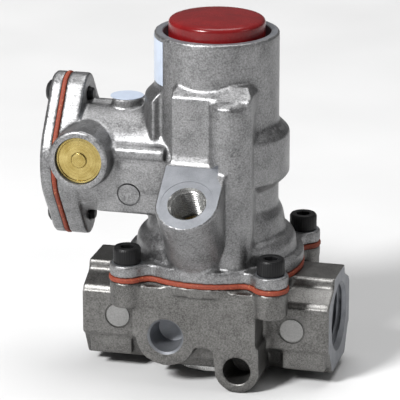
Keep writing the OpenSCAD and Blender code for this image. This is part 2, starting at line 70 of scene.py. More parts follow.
# Sizes in mm, in the tower's own frame: X = 0 on the tower axis, Z = 0 on the pipe axis
PORT_FACE = 39.0                                     # from the tower axis to each pipe mouth
BLOCK_FRONT = 15.5                                   # from the pipe axis to a port block's front
BOSS_FACE = -25.5                                    # Y of the two bosses on the body's front
TAPPING, BLIND_HOLE = (-9.7, -2.3), (12.6, -11.4)    # X and Z of the holes in those bosses
GASKET_LOW, GASKET_TOP, FLANGE_TOP = 14.5, 16.1, 19.9
SCREW_SPOTS = [(-22.4, -22.4), (22.4, -22.4), (22.4, 22.4), (-22.4, 22.4)]
RIM_Z, BORE_R = 88.5, 16.35                          # the tower's rim and bore
MOUTH, MOUTH_AXIS = (-0.9, -33.0, 43.6), (0, -0.6, 0.8)    # the inclined pilot boss
MOUTH_SINK = 0.22                                    # the round recess in its milled face
PIVOT = (-37.4, 50.9)                                # X and Z of the lever's axis
ARM_Z, ARM_FACE, COVER_FACE = 46.3, -46.2, -51.5
COVER_SCREW = 19.3                                   # from ARM_Z to each cover screw
MAGNET_Z = 41.5
SKIM = 0.10                                          # depth of a light milling cut
FRONT, LEFT = (0, -1, 0), (-1, 0, 0)

# Threads: major radius, minor radius and pitch
PIPE_THREAD = (10.3, 9.35, 1.814)
TUBE_THREAD = (5.55, 4.85, 1.058)
NUT_THREAD = (4.37, 3.95, 0.794)

# The order of the finishes in a casting's material slots
AS_CAST, MILLED, THREAD_CUT, EJECTOR = range(4)

TOWER_FRAME = Matrix.Translation((-PORT_FACE * MM, 0, 0)) @ Matrix.Scale(MM, 4)


def place(x=0.0, y=0.0, z=0.0, axis=(0, 0, 1), spin=0.0):
    """From a local frame in mm, with +Z along axis, to the row frame in metres."""
    turn = Vector(axis).to_track_quat("Z", "Y").to_matrix().to_4x4()
    return TOWER_FRAME @ Matrix.Translation((x, y, z)) @ turn @ Matrix.Rotation(spin, 4, "Z")


def facing_front(spot, y):
    """The frame at a spot (X, Z), with +Z out of the front."""
    return place(spot[0], y, spot[1], axis=FRONT)


def stand_in(piece, node, body="housing"):
    """Shows piece in place of a CAD node."""
    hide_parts(node)
    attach(piece, body)


# ---- meshes ---------------------------------------------------------------

def link(name, mesh):
    obj = bpy.data.objects.new(name, mesh)
    bpy.context.scene.collection.objects.link(obj)
    return obj


def make(name, verts, faces, matrix, materials=(), index=0):
    mesh = bpy.data.meshes.new(name)
    mesh.from_pydata([matrix @ Vector(v) for v in verts], [], faces)
    for m in materials:
        mesh.materials.append(m)
    mesh.polygons.foreach_set("material_index", [index] * len(faces))
    mesh.update()
    return link(name, mesh)


def lathe(profile, segments=96, shape=None):
    """A closed solid of revolution about Z. shape(angle, r, z) changes the radius."""
    verts, rings = [], []
    for r, z in profile:
        if r < 1e-6:
            rings.append([len(verts)] * segments)
            verts.append((0, 0, z))
            continue
        ring = []
        for k in range(segments):
            a = TAU * k / segments
            q = shape(a, r, z) if shape else r
            ring.append(len(verts))
            verts.append((q * math.cos(a), q * math.sin(a), z))
        rings.append(ring)
    if profile[0][0] > 1e-6:
        rings.append(rings[0])
    faces = []
    for low, high in zip(rings, rings[1:]):
        for k in range(segments):
            n = (k + 1) % segments
            corners = [low[k], low[n], high[n], high[k]]
            face = [c for i, c in enumerate(corners) if c != corners[i - 1]]
            if len(face) > 2:
                faces.append(face)
    return verts, faces


def rounded(points, steps=4):
    """Replaces each corner (r, z, radius) that has a radius by an arc."""
    out = []
    for i, p in enumerate(points):
        radius = p[2] if len(p) > 2 else 0
        if radius <= 0 or i in (0, len(points) - 1):
            out.append((p[0], p[1]))
            continue
        a, b, c = (Vector(points[k][:2]) for k in (i - 1, i, i + 1))
        u, v = (a - b).normalized(), (c - b).normalized()
        half = u.angle(v) / 2
        back = min(radius / math.tan(half), 0.49 * (a - b).length, 0.49 * (c - b).length)
        r = back * math.tan(half)
        centre = b + (u + v).normalized() * (r / math.sin(half))
        start, end = b + u * back - centre, b + v * back - centre
        sweep = start.angle_signed(end)
        for k in range(steps + 1):
            t = -sweep * k / steps
            q = centre + Matrix.Rotation(t, 2) @ start
            out.append((q.x, q.y))
    return out


def thread_solid(major, minor, pitch, depth, out=2.0, bevel=0.4, taper=0.0, segments=96):
    """The solid that a tap leaves, mouth at Z = 0 and depth along -Z."""
    step = pitch / 8
    count = int(depth / step)
    profile = [(0, -depth)] + [(1, -depth + i * step) for i in range(count + 1)]
    profile += [(1, -0.01), (1, 0.0), (1, out), (0, out)]

    def shape(a, r, z):
        if z > 0.005:
            return major + bevel
        phase = (z / pitch - a / TAU) % 1.0
        t = min(1.0, max(0.0, (abs(2 * phase - 1) - 0.12) / 0.76))
        r = minor + (major - minor) * t + taper * z
        return max(r, major + bevel + z)

    return lathe(profile, segments, shape)


def box_solid(lo, hi):
    (x0, y0, z0), (x1, y1, z1) = lo, hi
    verts = [(x, y, z) for x in (x0, x1) for y in (y0, y1) for z in (z0, z1)]
    faces = [(0, 1, 3, 2), (4, 6, 7, 5), (0, 4, 5, 1), (2, 3, 7, 6), (0, 2, 6, 4), (1, 5, 7, 3)]
    return verts, faces


def prism_solid(outline, z0, z1):
    """A straight prism over an outline of (x, y) points, counter-clockwise."""
    n = len(outline)
    verts = [(x, y, z) for z in (z0, z1) for x, y in outline]
    faces = [tuple(reversed(range(n))), tuple(range(n, 2 * n))]
    faces += [(i, (i + 1) % n, n + (i + 1) % n, n + i) for i in range(n)]
    return verts, faces


def cylinder_solid(r, z0, z1, segments=96):
    return lathe([(0, z0), (r, z0), (r, z1), (0, z1)], segments)


def ring_solid(r_in, r_out, z0, z1, segments=64):
    return lathe([(r_in, z0), (r_out, z0), (r_out, z1), (r_in, z1)], segments)


def apply_modifiers(obj):
    graph = bpy.context.evaluated_depsgraph_get()
    mesh = bpy.data.meshes.new_from_object(obj.evaluated_get(graph))
    obj.modifiers.clear()
    obj.data = mesh


def cad_copy(node, name, weld=2e-6):
    """A welded copy of a CAD node's mesh, without its materials and normals."""
    mesh = NODES[node].data.copy()
    mesh.materials.clear()
    bm = bmesh.new()
    bm.from_mesh(mesh)
    bmesh.ops.remove_doubles(bm, verts=bm.verts, dist=weld)
    bm.to_mesh(mesh)
    bm.free()
    for a in list(mesh.attributes):
        if a.name.startswith("custom_normal") or a.name == "sharp_edge":
            mesh.attributes.remove(a)
    return link(name, mesh)


def absorb(obj, solids):
    """Adds (solid, matrix) pairs to obj's mesh, each as a shell of its own."""
    bm = bmesh.new()
    bm.from_mesh(obj.data)
    for (verts, faces), matrix in solids:
        made = [bm.verts.new(matrix @ Vector(v)) for v in verts]
        for f in faces:
            bm.faces.new([made[i] for i in f])
    bm.to_mesh(obj.data)
    bm.free()


def subtract(obj, solid, matrix, materials, index=0):
    """Cuts a solid away; the new faces get the finish materials[index]."""
    tool = make("cutter", *solid, matrix, materials, index)
    m = obj.modifiers.new("cut", "BOOLEAN")
    m.operation, m.solver, m.object = "DIFFERENCE", "MANIFOLD", tool
    apply_modifiers(obj)
    bpy.data.objects.remove(tool)


def remesh(obj, voxel, rounds):
    """Rebuilds the mesh on a grid of voxel mm and rounds its edges."""
    m = obj.modifiers.new("voxel", "REMESH")
    m.mode, m.voxel_size, m.adaptivity = "VOXEL", voxel * MM, 0.0
    m.use_smooth_shade = True
    s = obj.modifiers.new("soft", "SMOOTH")
    s.factor, s.iterations = 0.5, rounds
    apply_modifiers(obj)


def shade(obj, angle=35):
    """Smooth shading, with sharp edges by angle and where two finishes meet."""
    mesh = obj.data
    mesh.polygons.foreach_set("use_smooth", [True] * len(mesh.polygons))
    mesh.set_sharp_from_angle(angle=math.radians(angle))
    if len(mesh.materials) > 1:
        bm = bmesh.new()
        bm.from_mesh(mesh)
        for e in bm.edges:
            if len({f.material_index for f in e.link_faces}) > 1:
                e.smooth = False
        bm.to_mesh(mesh)
        bm.free()
    mesh.update()
    return obj


def casting(node, name, slot, materials, fill, machine, voxel, rounds):
    """A die casting: the CAD shape softened, then machined where it is finished.

    fill holds (solid, matrix) pairs that close the finished holes before the softening;
    machine holds (solid, matrix[, finish]) entries that cut them again."""
    obj = cad_copy(node, name)
    absorb(obj, fill)
    remesh(obj, voxel, rounds)
    for m in materials:
        obj.data.materials.append(m)
    for solid, matrix, *index in machine:
        subtract(obj, solid, matrix, materials, *(index or [MILLED]))
    shade(obj)
    stand_in(obj, node)


# ---- materials ------------------------------------------------------------

class Finish:
    """A Principled material with small helpers for its nodes."""

    def __init__(self, name, metallic=0.0, **sockets):
        self.mat = bpy.data.materials.new(name)
        self.mat.use_nodes = True
        self.tree = self.mat.node_tree
        self.shader = next(n for n in self.tree.nodes if n.type == "BSDF_PRINCIPLED")
        self.shader.inputs["Metallic"].default_value = metallic
        for key, value in sockets.items():
            self.shader.inputs[key.replace("_", " ")].default_value = value
        self.where = self.new("ShaderNodeTexCoord").outputs["Object"]

    def new(self, kind, **settings):
        n = self.tree.nodes.new(kind)
        for key, value in settings.items():
            setattr(n, key, value)
        return n

    def join(self, source, target):
        if isinstance(source, (int, float)):
            target.default_value = source
        elif isinstance(source, tuple):
            target.default_value = (*source, 1.0) if len(source) == 3 else source
        else:
            self.tree.links.new(source, target)

    def noise(self, size, detail=3.0, rough=0.55, scale=(1, 1, 1), where=None, seed=0.0):
        """Noise with features of about size mm."""
        mapping = self.new("ShaderNodeMapping")
        mapping.inputs["Scale"].default_value = scale
        mapping.inputs["Location"].default_value = (seed, seed * 0.7, seed * 1.3)
        self.join(where or self.where, mapping.inputs["Vector"])
        n = self.new("ShaderNodeTexNoise")
        n.inputs["Scale"].default_value = 1 / (size * MM)
        n.inputs["Detail"].default_value = detail
        n.inputs["Roughness"].default_value = rough
        self.join(mapping.outputs[0], n.inputs["Vector"])
        return n.outputs["Fac"]

    def ramp(self, fac, *stops):
        n = self.new("ShaderNodeValToRGB")
        while len(n.color_ramp.elements) < len(stops):
            n.color_ramp.elements.new(0.5)
        for e, (at, colour) in zip(n.color_ramp.elements, stops):
            e.position = at
            e.color = (*colour, 1) if isinstance(colour, tuple) else (colour,) * 3 + (1,)
        self.join(fac, n.inputs["Fac"])
        return n.outputs["Color"]

    def mix(self, fac, a, b):
        n = self.new("ShaderNodeMix", data_type="RGBA")
        self.join(fac, n.inputs["Factor"])
        self.join(a, n.inputs[6])
        self.join(b, n.inputs[7])
        return n.outputs[2]

    def math(self, operation, a, b):
        n = self.new("ShaderNodeMath", operation=operation)
        self.join(a, n.inputs[0])
        self.join(b, n.inputs[1])
        return n.outputs[0]

    def span(self, value, lo, hi, to_lo=0.0, to_hi=1.0):
        n = self.new("ShaderNodeMapRange")
        self.join(value, n.inputs["Value"])
        for key, v in (("From Min", lo), ("From Max", hi), ("To Min", to_lo), ("To Max", to_hi)):
            n.inputs[key].default_value = v
        return n.outputs["Result"]

    def spread(self, value):
        """A vector whose X is value."""
        n = self.new("ShaderNodeCombineXYZ")
        self.join(value, n.inputs["X"])
        return n.outputs[0]

    def crevice(self, distance):
        """Low in corners that are narrower than distance mm."""
        n = self.new("ShaderNodeAmbientOcclusion", samples=6)
        n.inputs["Distance"].default_value = distance * MM
        return n.outputs["AO"]

    def pointy(self):
        """High on convex edges."""
        return self.new("ShaderNodeNewGeometry").outputs["Pointiness"]

    def bump(self, height, depth, strength=1.0, under=None):
        n = self.new("ShaderNodeBump")
        n.inputs["Strength"].default_value = strength
        n.inputs["Distance"].default_value = depth * MM
        self.join(height, n.inputs["Height"])
        if under is not None:
            self.join(under, n.inputs["Normal"])
        return n.outputs["Normal"]

    def finish(self, colour, rough, normal=None):
        self.join(colour, self.shader.inputs["Base Color"])
        self.join(rough, self.shader.inputs["Roughness"])
        if normal is not None:
            self.join(normal, self.shader.inputs["Normal"])
        return self.mat


def cast_metal(name, dark, light, grain, depth):
    """Cast aluminium: a grained skin, with painted highlights on its edges and painted shade in
    its corners.
    """
    f = Finish(name, metallic=0.93)
    fine = f.noise(grain, 2.0, 0.6)
    coarse = f.noise(7.0, 3.0, 0.5, seed=3.1)
    blotch = f.noise(1.7, 3.0, 0.6, seed=1.7)
    tone = f.math("ADD", f.math("MULTIPLY", fine, 0.55),
                  f.math("ADD", f.math("MULTIPLY", coarse, 0.25), f.math("MULTIPLY", blotch, 0.2)))
    colour = f.ramp(tone, (0.36, dark), (0.64, light))
    # painted highlight: convex edges are lightened in the base colour
    edge = f.span(f.pointy(), 0.52, 0.60)
    colour = f.mix(f.math("MULTIPLY", edge, 0.45), colour, tuple(min(1, c * 1.35) for c in light))
    # painted shade: corners found by ambient occlusion are darkened in the base colour
    painted_corner_shade = f.span(f.crevice(6.0), 0.25, 0.9, 0.70, 0.0)
    colour = f.mix(painted_corner_shade, colour, tuple(c * 0.35 for c in dark))
    rough = f.span(f.math("ADD", f.math("MULTIPLY", fine, 0.5), f.math("MULTIPLY", blotch, 0.5)),
                   0.35, 0.65, 0.34, 0.52)
    normal = f.bump(blotch, 0.10, 0.5)
    normal = f.bump(fine, depth, 1.0, normal)
    return f.finish(colour, rough, normal)


def machined_metal(name, dark, light, stretch=(1, 1, 6), rough=(0.26, 0.42), metallic=0.9):
    f = Finish(name, metallic=metallic)
    lines = f.noise(0.35, 2.0, 0.6, scale=stretch)
    cloud = f.noise(4.0, 2.0, 0.5, seed=2.0)
    colour = f.ramp(f.math("ADD", f.math("MULTIPLY", lines, 0.6), f.math("MULTIPLY", cloud, 0.4)),
                    (0.35, dark), (0.65, light))
    r = f.span(lines, 0.3, 0.7, *rough)
    return f.finish(colour, r, f.bump(lines, 0.012, 0.8))


def turned_metal(name, dark, light, centre, axis="Z", pitch=0.22, depth=0.006, rough=(0.18, 0.34),
                 metallic=1.0):
    """Metal with fine rings about an axis through centre, a point in the row frame."""
    f = Finish(name, metallic=metallic)
    away = f.new("ShaderNodeVectorMath", operation="SUBTRACT")
    f.join(f.where, away.inputs[0])
    away.inputs[1].default_value = centre
    flat = f.new("ShaderNodeVectorMath", operation="MULTIPLY")
    f.join(away.outputs[0], flat.inputs[0])
    flat.inputs[1].default_value = tuple(0.0 if k == axis else 1.0 for k in "XYZ")
    length = f.new("ShaderNodeVectorMath", operation="LENGTH")
    f.join(flat.outputs[0], length.inputs[0])
    line = f.noise(pitch, 1.0, 0.5, where=f.spread(length.outputs["Value"]))
    cloud = f.noise(3.0, 2.0, 0.5)
    scratch = f.noise(0.5, 3.0, 0.7, scale=(1, 1, 0.3), seed=5)
    tone = f.math("ADD", f.math("MULTIPLY", line, 0.5), f.math("MULTIPLY", cloud, 0.5))
    colour = f.ramp(tone, (0.35, dark), (0.65, light))
    r = f.span(f.math("ADD", f.math("MULTIPLY", line, 0.5), f.math("MULTIPLY", scratch, 0.5)),
               0.35, 0.65, *rough)
    return f.finish(colour, r, f.bump(line, depth, 1.0))


def plain_metal(name, colour, rough=(0.3, 0.5), grain=0.3, metallic=1.0, depth=0.008, **sockets):
    f = Finish(name, metallic=metallic, **sockets)
    fine = f.noise(grain, 3.0, 0.6)
    cloud = f.noise(2.5, 3.0, 0.55, seed=4)
    c = f.ramp(f.math("ADD", f.math("MULTIPLY", fine, 0.5), f.math("MULTIPLY", cloud, 0.5)),
               (0.35, tuple(k * 0.8 for k in colour)),
               (0.65, tuple(min(1, k * 1.15) for k in colour)))
    # painted highlight: convex edges are lightened in the base colour
    edge = f.span(f.pointy(), 0.52, 0.62)
    c = f.mix(f.math("MULTIPLY", edge, 0.35), c, tuple(min(1, k * 1.6 + 0.03) for k in colour))
    return f.finish(c, f.span(fine, 0.3, 0.7, *rough), f.bump(fine, depth, 0.8))


def rubber(name, colour):
    f = Finish(name)
    fine = f.noise(0.12, 3.0, 0.6)
    c = f.ramp(fine, (0.3, tuple(k * 0.7 for k in colour)), (0.7, tuple(k * 1.4 for k in colour)))
    return f.finish(c, f.span(fine, 0.3, 0.7, 0.55, 0.72), f.bump(fine, 0.01, 0.6))


def gasket_fibre(name):
    f = Finish(name)
    fibre = f.noise(0.5, 4.0, 0.7, scale=(1, 1, 2.6))
    speck = f.noise(0.9, 2.0, 0.5, seed=9)
    c = f.ramp(fibre, (0.3, (0.10, 0.012, 0.006)), (0.5, (0.215, 0.032, 0.012)),
               (0.72, (0.34, 0.075, 0.026)))
    c = f.mix(f.span(speck, 0.62, 0.74, 0.0, 0.7), c, (0.46, 0.20, 0.09))
    return f.finish(c, f.span(fibre, 0.3, 0.7, 0.55, 0.8), f.bump(fibre, 0.06, 0.9))


def red_gloss(name):
    f = Finish(name, Coat_Weight=0.15, Coat_Roughness=0.12, Specular_IOR_Level=0.3)
    cloud = f.noise(5.0, 3.0, 0.5)
    fine = f.noise(0.25, 3.0, 0.6, seed=2)
    c = f.ramp(cloud, (0.3, (0.135, 0.004, 0.005)), (0.7, (0.175, 0.006, 0.007)))
    r = f.span(f.math("ADD", f.math("MULTIPLY", cloud, 0.6), f.math("MULTIPLY", fine, 0.4)),
               0.35, 0.65, 0.20, 0.32)
    return f.finish(c, r, f.bump(fine, 0.004, 0.6))


def paper_label(name, colour):
    f = Finish(name, Coat_Weight=0.35, Coat_Roughness=0.15)
    fibre = f.noise(0.3, 3.0, 0.6)
    cloud = f.noise(3.0, 2.0, 0.5)
    c = f.ramp(f.math("ADD", f.math("MULTIPLY", fibre, 0.4), f.math("MULTIPLY", cloud, 0.6)),
               (0.35, tuple(k * 0.92 for k in colour)),
               (0.65, tuple(min(1, k * 1.04) for k in colour)))
    return f.finish(c, f.span(fibre, 0.3, 0.7, 0.35, 0.5), f.bump(cloud, 0.02, 0.5))


BONNET_CAST = cast_metal("bonnet_cast", (0.125, 0.125, 0.127), (0.37, 0.37, 0.373),
                         grain=0.5, depth=0.055)
BODY_CAST = cast_metal("body_cast", (0.080, 0.078, 0.074), (0.225, 0.221, 0.214),
                       grain=0.45, depth=0.05)
MACHINED = machined_metal("machined_aluminium", (0.180, 0.188, 0.205), (0.285, 0.295, 0.315),
                          rough=(0.42, 0.58), metallic=0.75)
TAPPED = machined_metal("tapped_aluminium", (0.30, 0.30, 0.29), (0.52, 0.52, 0.51),
                        rough=(0.18, 0.32))
POLISHED_CAST = cast_metal("polished_cast", (0.10, 0.10, 0.098), (0.28, 0.278, 0.273),
                           grain=0.6, depth=0.03)
GASKET = gasket_fibre("gasket_fibre")
OXIDE = plain_metal("black_oxide", (0.006, 0.006, 0.0065), (0.36, 0.52), metallic=0.1,
                    Specular_IOR_Level=0.25)
RED = red_gloss("red_gloss")
RUBBER = rubber("nitrile", (0.02, 0.02, 0.021))
STEEL = plain_metal("turned_steel", (0.56, 0.57, 0.58), (0.22, 0.38))
SPRING = plain_metal("spring_wire", (0.50, 0.51, 0.53), (0.25, 0.4))
DARK_STEEL = plain_metal("dark_spring_steel", (0.12, 0.12, 0.125), (0.35, 0.5))
IRON = plain_metal("magnet_iron", (0.38, 0.39, 0.40), (0.3, 0.45))
PLAIN_BRASS = plain_metal("machined_brass", (0.66, 0.47, 0.20), (0.2, 0.36))
COPPER = plain_metal("enamelled_wire", (0.50, 0.17, 0.06), (0.2, 0.35), metallic=0.7)
BAKELITE = rubber("brown_insulator", (0.16, 0.065, 0.028))
LABEL = paper_label("blank_label", (0.46, 0.52, 0.62))
PLUG_BRASS = turned_metal("turned_brass", (0.31, 0.225, 0.065), (0.52, 0.415, 0.165),
                          ((PIVOT[0] - PORT_FACE) * MM, 0, PIVOT[1] * MM), "Y", rough=(0.20, 0.34))
SOCKET_BRASS = turned_metal("socket_brass", (0.60, 0.42, 0.12), (0.84, 0.66, 0.26),
                            (0, 0, MAGNET_Z * MM), "X")
PLUG_ALUMINIUM = turned_metal("turned_aluminium", (0.45, 0.45, 0.44), (0.68, 0.68, 0.67),
                              (-PORT_FACE * MM, 0, 0), "Z")


# ---- castings -------------------------------------------------------------

def body_parts():
    """The body's pipe mouths, front holes, ejector flats and gasket face."""
    fill, cut = [], []
    port_cut, disc_x, disc_z = 0.06, 27.5, -0.4
    for side in (1, -1):
        axis = (side, 0, 0)
        fill.append((cylinder_solid(10.9, 22.4, PORT_FACE), place(axis=axis)))
        cut.append((box_solid((-30, -30, PORT_FACE - port_cut), (30, 30, 60)), place(axis=axis)))
        cut.append((thread_solid(*PIPE_THREAD, depth=16.4, out=2, bevel=0.5, taper=0.03,
                                 segments=128),
                    place(side * (PORT_FACE - port_cut), axis=axis)))
        disc = facing_front((side * disc_x, disc_z), -BLOCK_FRONT)
        cut.append((cylinder_solid(3.9, 0.1, 3, 64), disc, EJECTOR))
        cut.append((ring_solid(3.6, 4.15, -0.2, 3), disc, AS_CAST))
    inside, face = BOSS_FACE + 9.4, BOSS_FACE + 0.02
    fill.append((cylinder_solid(6.2, -2.6, 9.0), facing_front(TAPPING, inside)))
    fill.append((cylinder_solid(5.4, 0, 9.0), facing_front(BLIND_HOLE, inside)))
    tapping = [(0, -10.9), (4.4, -9.2), (5.1, -0.75), (5.9, 0.06), (5.9, 2), (0, 2)]
    cut.append((lathe(tapping), facing_front(TAPPING, face)))
    blind = [(0, -12.6), (4.3, -12.1), (4.3, -0.35), (4.7, 0.06), (4.7, 2), (0, 2)]
    cut.append((lathe(blind), facing_front(BLIND_HOLE, face), AS_CAST))
    cut.append((box_solid((-40, -40, 0), (40, 40, 8)), place(z=GASKET_LOW - 0.02)))
    return fill, cut


def bonnet_parts():
    """The bonnet's bore, pilot mouth, spot faces, plug boss, ejector mark and joint faces."""
    fill = [(cylinder_solid(BORE_R + 1.3, 63.6, RIM_Z - 0.02), place()),
            (cylinder_solid(6.7, -11.4, -0.3), place(*MOUTH, axis=MOUTH_AXIS)),
            (cylinder_solid(8.2, 0, 9.6), facing_front(PIVOT, -13.6))]
    cut = [(box_solid((-30, -30, 0), (30, 30, 8)), place(z=RIM_Z - SKIM))]
    bore = [(0, 63.0), (BORE_R, 63.0), (BORE_R, 82.7), (BORE_R + 0.8, 82.7),
            (BORE_R + 0.8, 84.0), (BORE_R, 84.0), (BORE_R, RIM_Z - 0.35),
            (BORE_R + 0.35, RIM_Z), (BORE_R + 0.35, 95), (0, 95)]
    cut.append((lathe(bore, 160), place()))
    mouth = place(*MOUTH, axis=MOUTH_AXIS)
    milled = [(-11, -11), (9.4, -11), (9.4, 6.5), (7.3, 10.0), (7.3, 13.2), (-11, 13.2)]
    cut.append((prism_solid(milled, -SKIM, 5), mouth))
    cut.append((cylinder_solid(8.1, -MOUTH_SINK, 3), mouth))
    cut.append((thread_solid(*TUBE_THREAD, depth=12.0, out=3, bevel=0.35),
                mouth @ Matrix.Translation((0, 0, -MOUTH_SINK)), THREAD_CUT))
    for x, y in SCREW_SPOTS:
        cut.append((cylinder_solid(4.75, 0, 8, 64), place(x, y, FLANGE_TOP - SKIM)))
    plug_seat = [(0, 0), (7.4, 0), (7.4, 9.4), (7.75, 9.75), (7.75, 12), (0, 12)]
    cut.append((lathe(plug_seat), facing_front(PIVOT, -14.0)))
    cut.append((cylinder_solid(11, 9.85, 14), facing_front(PIVOT, -13.5), AS_CAST))
    cut.append((ring_solid(3.25, 3.75, -0.45, 3), facing_front((-23.5, 39.4), -16.15), AS_CAST))
    cut.append((box_solid((-60, -18.7, 0), (ARM_FACE + 0.02, 18.7, 90)), place()))
    cut.append((cylinder_solid(6.5, 0, 4), place(-28.4, 0, 65.78)))
    cut.append((box_solid((-40, -40, -8), (40, 40, 0)), place(z=GASKET_TOP + 0.02)))
    return fill, cut


def cover_parts():
    """The side cover's joint face and its spot faces under the screws."""
    cut = [(box_solid((ARM_FACE - 1.52, -30, 0), (-30, 30, 90)), place())]
    for side in (1, -1):
        z = ARM_Z + side * COVER_SCREW
        cut.append((cylinder_solid(4.3, 0, 3), place(COVER_FACE + 0.08, 0, z, axis=LEFT)))
    return [], cut


casting("valve_body", "valve_body_casting", "body_casting",
        (BODY_CAST, MACHINED, TAPPED, POLISHED_CAST), *body_parts(), voxel=0.48, rounds=8)
casting("bonnet", "bonnet_casting", "bonnet_casting",
        (BONNET_CAST, MACHINED, TAPPED), *bonnet_parts(), voxel=0.46, rounds=12)
casting("side_cover", "side_cover_casting", "bonnet_casting",
        (BONNET_CAST, MACHINED), *cover_parts(), voxel=0.4, rounds=4)


# ---- gaskets --------------------------------------------------------------

def gasket(node, name, axis):
    """A fibre sheet square to axis, with an uneven cut edge inside the CAD outline."""
    obj = cad_copy(node, name)
    remesh(obj, 0.36, 2)
    lo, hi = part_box(node)
    mesh = obj.data
    co = np.zeros(len(mesh.vertices) * 3, np.float32)
    mesh.vertices.foreach_get("co", co)
    co = co.reshape(-1, 3)
    rng = np.random.default_rng(5)
    count, most_per_m, swing = 10, 900, 0.12
    waves = rng.uniform(-1, 1, (count, 3)) * most_per_m
    phase = rng.uniform(0, TAU, count)
    wobble = np.sin(co @ waves.T + phase).mean(1) * swing * MM
    middle = (np.array(lo) + np.array(hi)) / 2
    out = co - middle
    out[:, axis] = 0
    out /= np.linalg.norm(out, axis=1)[:, None]
    co += out * (wobble - swing * MM)[:, None]
    co = np.clip(co, np.array(lo), np.array(hi))
    mesh.vertices.foreach_set("co", co.astype(np.float32).ravel())
    mesh.materials.append(GASKET)
    shade(obj, 50)
    stand_in(obj, node)


gasket("body_gasket", "body_gasket_sheet", 2)
gasket("side_cover_gasket", "side_cover_gasket_sheet", 0)


# ---- screws ---------------------------------------------------------------

def hex_key(across, depth, z):
    """The solid that a key's socket leaves, its mouth at z."""
    r = across / math.sqrt(3)
    return lathe([(0, z - depth - 0.5), (r * 0.97, z - depth), (r, z - 0.25), (r + 0.35, z + 0.1),
                  (r + 0.35, z + 2), (0, z + 2)], 6)


def cap_screw(matrix, head_r, head_h, shank_r, shank, key, teeth):
    """A socket head cap screw, its head's underside at Z = 0."""
    profile = rounded([(0, -shank), (shank_r - 0.4, -shank), (shank_r, -shank + 0.5), (shank_r, 0),
                       (head_r - 0.1, 0, 0.1), (head_r, 0.2), (head_r, head_h * 0.86),
                       (head_r - 0.45, head_h, 0.3), (key / math.sqrt(3) + 0.7, head_h),
                       (0, head_h)], 3)

    def knurl(a, r, z):
        if r > head_r - 0.01 and z > 0.1:
            return r - 0.09 * (0.5 + 0.5 * math.cos(teeth * a))
        return r

    obj = make("cap", *lathe(profile, teeth * 4, knurl), matrix, (OXIDE,))
    subtract(obj, hex_key(key, head_h * 0.5, head_h), matrix, (OXIDE,))
    return shade(obj, 30)


def joined(name, parts):
    """One piece from several objects that share their materials."""
    bm = bmesh.new()
    for p in parts:
        bm.from_mesh(p.data)
    mesh = bpy.data.meshes.new(name)
    bm.to_mesh(mesh)
    bm.free()
    for m in parts[0].data.materials:
        mesh.materials.append(m)
    for p in parts:
        bpy.data.objects.remove(p)
    return link(name, mesh)


caps = [cap_screw(place(x, y, FLANGE_TOP, spin=random.uniform(0, 1)), head_r=4.25, head_h=5.0,
                  shank_r=2.4, shank=11.9, key=4.0, teeth=36) for x, y in SCREW_SPOTS]
stand_in(shade(joined("bonnet_cap_screws", caps), 30), "bonnet_screws")


def button_screw(side, tip=12.6):
    """A round head screw of the side cover, its head's underside at Z = 0."""
    matrix = place(COVER_FACE, 0, ARM_Z + side * COVER_SCREW, axis=LEFT, spin=0.4 * side)
    profile = rounded([(0, -tip), (1.5, -tip), (1.95, -tip + 0.5), (1.95, 0), (3.7, 0, 0.1),
                       (3.7, 0.55), (3.35, 1.5), (2.5, 2.2), (1.4, 2.58), (0, 2.6)], 3)
    obj = make("round_head", *lathe(profile, 72), matrix, (OXIDE,))
    subtract(obj, hex_key(2.5, 1.4, 2.5), matrix, (OXIDE,))
    return obj


round_heads = joined("side_cover_button_screws", [button_screw(side) for side in (1, -1)])
stand_in(shade(round_heads, 30), "side_cover_screws")


# ---- button, springs, brass plug, socket ----------------------------------

CAP_R, CAP_FLANGE_R = 14.7, BORE_R - 0.15
CROWN_LOW, CROWN_RISE = 92.3, 0.88


def crown(r):
    """Height of the red cap's domed top at radius r."""
    return CROWN_LOW + CROWN_RISE * (1 - (r / CAP_R) ** 2)


top = [(r, crown(r)) for r in (12.6, 12.0, 10.5, 9, 7.5, 6, 4.5, 3, 1.5, 0)]
cap = rounded([(0, 83.0), (5.5, 83.0), (5.5, 80.2), (10.8, 80.2), (10.8, 79.0, 0.15),
               (CAP_FLANGE_R, 79.0, 0.3), (CAP_FLANGE_R, 82.55, 0.3), (CAP_R, 82.55, 0.1),
               (CAP_R, 92.0, 3.0)] + top, 7)
cap = shade(make("reset_button_cap", *lathe(cap, 128), place(), (RED,)), 40)
stand_in(cap, "reset_button", "button")


def coil(name, node, radius, wire, z0, z1, turns):
    """A compression spring with one closed turn at each end."""
    steps, sides = 40, 10
    rise = z1 - z0 - 2 * wire
    pitch = (rise - 4 * wire) / (turns - 2)
    verts, faces = [], []
    total = steps * turns
    for i in range(total + 1):
        n = i / steps
        if n < 1:
            z = 2 * wire * n
        elif n > turns - 1:
            z = rise - 2 * wire * (turns - n)
        else:
            z = 2 * wire + (n - 1) * pitch
        a = TAU * n
        for k in range(sides):
            w = TAU * k / sides
            q = radius + wire * math.cos(w)
            verts.append((q * math.cos(a), q * math.sin(a), z0 + wire + z + wire * math.sin(w)))
    for i in range(total):
        for k in range(sides):
            n = (k + 1) % sides
            faces.append((i * sides + k, (i + 1) * sides + k, (i + 1) * sides + n, i * sides + n))
    faces.append(tuple(range(sides)))
    faces.append(tuple(total * sides + k for k in reversed(range(sides))))
    obj = shade(make(name, verts, faces, place(), (SPRING,)), 50)
    stand_in(obj, node)
    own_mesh(obj)


coil("button_coil_spring", "button_spring", radius=8.6, wire=0.55, z0=64.55, z1=88.45, turns=7)
coil("closing_coil_spring", "closing_spring", radius=6.2, wire=0.35, z0=-10.5, z1=-2.25, turns=4)

